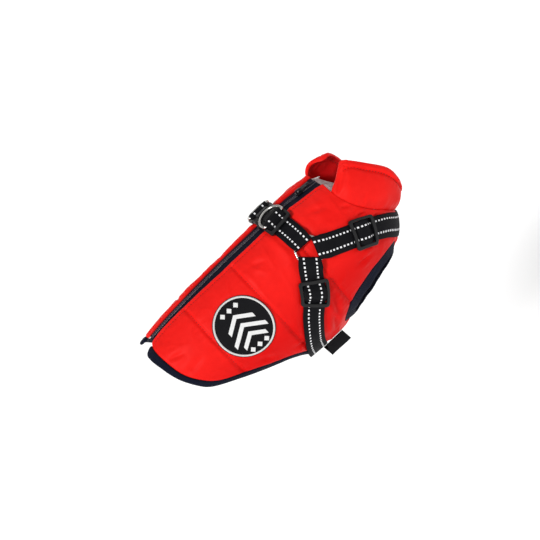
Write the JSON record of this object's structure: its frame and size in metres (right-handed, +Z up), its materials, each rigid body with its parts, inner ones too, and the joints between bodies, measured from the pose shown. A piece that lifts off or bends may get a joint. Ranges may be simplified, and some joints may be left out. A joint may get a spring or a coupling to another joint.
{
  "type": "dog coat with harness",
  "caption": "Quilted sleeveless dog coat with a rib collar, bound leg openings and a webbing harness that fastens over the back with a side-release buckle and rings.",
  "frame": {"origin": "lining's inner face on the back line, below the buckle, where the coat lies on its wearer's back", "axes": "+X along the back towards the neck opening, +Y towards the wearer's left, +Z up out of the back"},
  "size_m": [0.3352, 0.153, 0.174],
  "materials": {
    "nylon_red": "satin",
    "fleece_white": "matte",
    "rib_navy": "matte",
    "webbing_black": "satin",
    "plastic_black": "gloss",
    "steel": "polished",
    "patch_black": "satin",
    "patch_white": "matte"
  },
  "bodies": {
    "coat": {"shell_right": "nylon_red", "shell_left": "nylon_red", "lining_right": "fleece_white", "lining_left": "fleece_white", "collar": "nylon_red", "hem_binding_right": "rib_navy", "hem_binding_left": "rib_navy", "armhole_cuff_right": "rib_navy", "armhole_cuff_left": "rib_navy", "back_strap_right": "webbing_black", "back_strap_left": "webbing_black", "chest_strap": "webbing_black", "belly_strap": "webbing_black", "chest_slider_right": "plastic_black", "chest_slider_left": "plastic_black", "belly_slider_right": "plastic_black", "belly_slider_left": "plastic_black", "buckle_socket": "plastic_black", "buckle_plug": "plastic_black", "junction_ring_right": "steel", "junction_ring_left": "steel", "zip_tape_right": "rib_navy", "zip_tape_left": "rib_navy", "zip_coil": "plastic_black", "zip_slider": "steel", "patch_disc": "patch_black", "patch_rim": "patch_white", "label": "patch_black"},
    "zip_pull_tab": {"zip_pull": "steel"},
    "ring_right": {"d_ring_right": "steel"},
    "ring_left": {"d_ring_left": "steel"}
  },
  "joints": [
    {"name": "zip_pull_swing", "type": "hinge", "parent": "coat", "child": "zip_pull_tab", "pos_m": [0.04054, 0, 0.00385], "axis": [0, -1, 0], "range_deg": [0, 100]},
    {"name": "d_ring_right_swing", "type": "hinge", "parent": "coat", "child": "ring_right", "pos_m": [-0.00231, -0.02072, 0.01044], "axis": [0.9876, 0.1492, 0.0495], "range_deg": [0, 140]},
    {"name": "d_ring_left_swing", "type": "hinge", "parent": "coat", "child": "ring_left", "pos_m": [-0.00541, 0.02097, 0.01034], "axis": [0.9997, 0.0237, 0.0085], "range_deg": [0, 115]}
  ]
}
